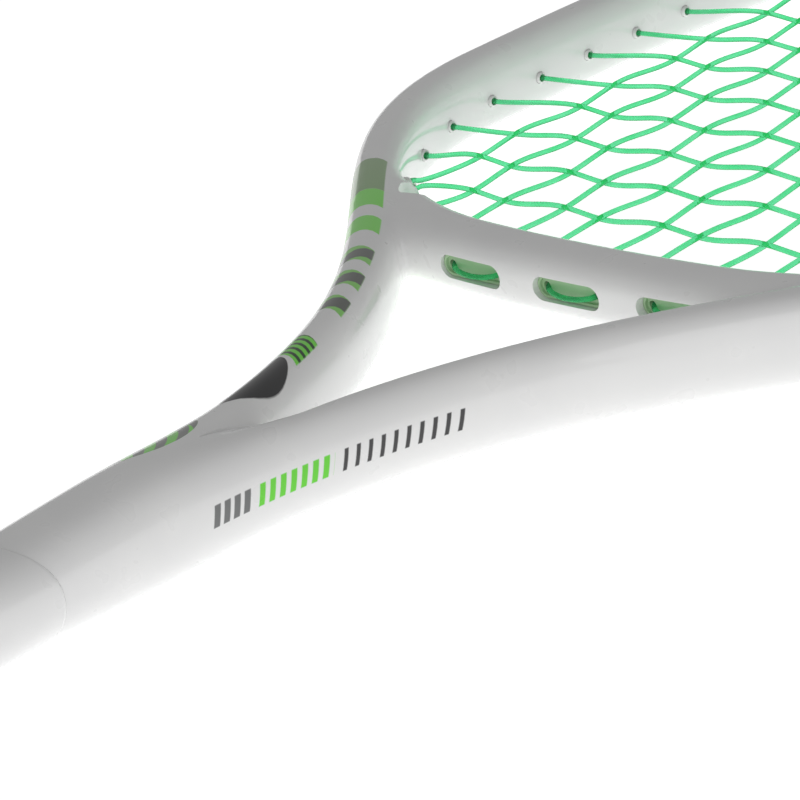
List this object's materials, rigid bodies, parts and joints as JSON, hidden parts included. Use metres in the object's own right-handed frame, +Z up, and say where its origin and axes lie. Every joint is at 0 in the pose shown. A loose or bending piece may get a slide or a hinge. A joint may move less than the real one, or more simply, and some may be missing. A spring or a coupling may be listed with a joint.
{
  "type": "squash racket",
  "caption": "Squash racket with a closed throat: oval strung head on a two-armed yoke, slim shaft and wrapped handle.",
  "frame": {"origin": "on the surface the racket lies on, under the middle of its box", "axes": "+Y along the racket from the butt to the tip, +X to the right with the tip away, +Z up, square to the string plane"},
  "size_m": [0.213, 0.686, 0.031],
  "materials": {
    "frame_paint": "white gloss lacquer over a carbon tube",
    "string_green": "green synthetic string",
    "grommet_white": "moulded nylon",
    "bumper_grey": "moulded nylon, slightly rough",
    "rubber_black": "matt rubber",
    "grip_black": "cushioned synthetic leather, perforated",
    "pallet_foam": "rigid foam",
    "staple_steel": "steel wire"
  },
  "bodies": {
    "root": {"shaft": "frame_paint", "shaft_sleeve": "frame_paint", "yoke_arm_right": "frame_paint", "yoke_arm_left": "frame_paint", "head_hoop_right": "frame_paint", "head_hoop_left": "frame_paint", "throat_bridge": "frame_paint", "bridge_grommet_1": "grommet_white", "bridge_grommet_2": "grommet_white", "bridge_grommet_3": "grommet_white", "corner_grommet_left": "grommet_white", "corner_grommet_right": "grommet_white", "grommet_strip_right": "grommet_white", "grommet_strip_left": "grommet_white", "head_bumper": "bumper_grey", "main_string": "string_green", "cross_string": "string_green", "string_knot_1": "string_green", "string_knot_2": "string_green", "string_knot_3": "string_green", "string_knot_4": "string_green", "handle_pallet": "pallet_foam", "grip_wrap": "grip_black", "finishing_tape": "rubber_black", "grip_collar": "rubber_black", "butt_cap": "rubber_black", "butt_plug": "bumper_grey", "cap_staple_top": "staple_steel", "cap_staple_bottom": "staple_steel"}
  },
  "joints": []
}
